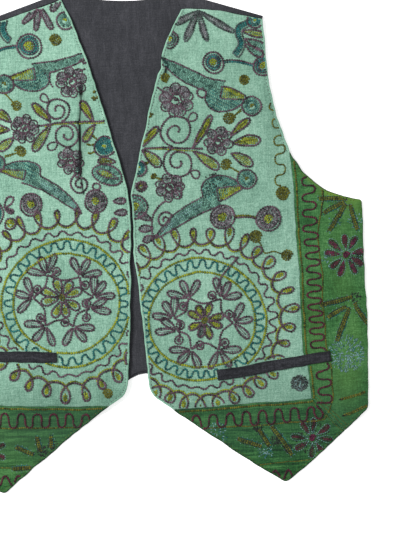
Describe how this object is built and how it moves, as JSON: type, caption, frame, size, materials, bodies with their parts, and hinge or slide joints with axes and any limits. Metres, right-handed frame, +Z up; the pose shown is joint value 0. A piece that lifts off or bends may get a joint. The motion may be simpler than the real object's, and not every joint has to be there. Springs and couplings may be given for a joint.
{
  "type": "embroidered waistcoat",
  "caption": "Short V-neck waistcoat lying flat and open-fronted on its back, with pointed fronts, dark welts and stitched flowers, birds and round wreaths.",
  "frame": {"origin": "the middle of the underside of the whole waistcoat as it lies, on the surface it rests on", "axes": "+Z up from the surface, +Y along the length towards the neck, +X across to the wearer's left, which is the picture's right"},
  "size_m": [0.539, 0.5843, 0.0064],
  "materials": {
    "mint_cotton": "crinkled plain-woven cotton, pale mint green, matt",
    "green_cotton": "crinkled plain-woven cotton, dark green, matt",
    "dark_linen": "plain-woven charcoal linen, matt",
    "plum_thread": "plum chain-stitched thread with a soft sheen",
    "teal_thread": "teal chain-stitched thread with a soft sheen",
    "olive_thread": "olive chain-stitched thread with a soft sheen",
    "grey_thread": "grey-teal chain-stitched thread with a soft sheen"
  },
  "bodies": {
    "root": {"back": "dark_linen", "back_lining": "dark_linen", "left_field": "mint_cotton", "left_side_border": "green_cotton", "left_hem_border": "green_cotton", "left_welt": "dark_linen", "right_field": "mint_cotton", "right_side_border": "green_cotton", "right_hem_border": "green_cotton", "right_welt": "dark_linen"}
  },
  "joints": []
}
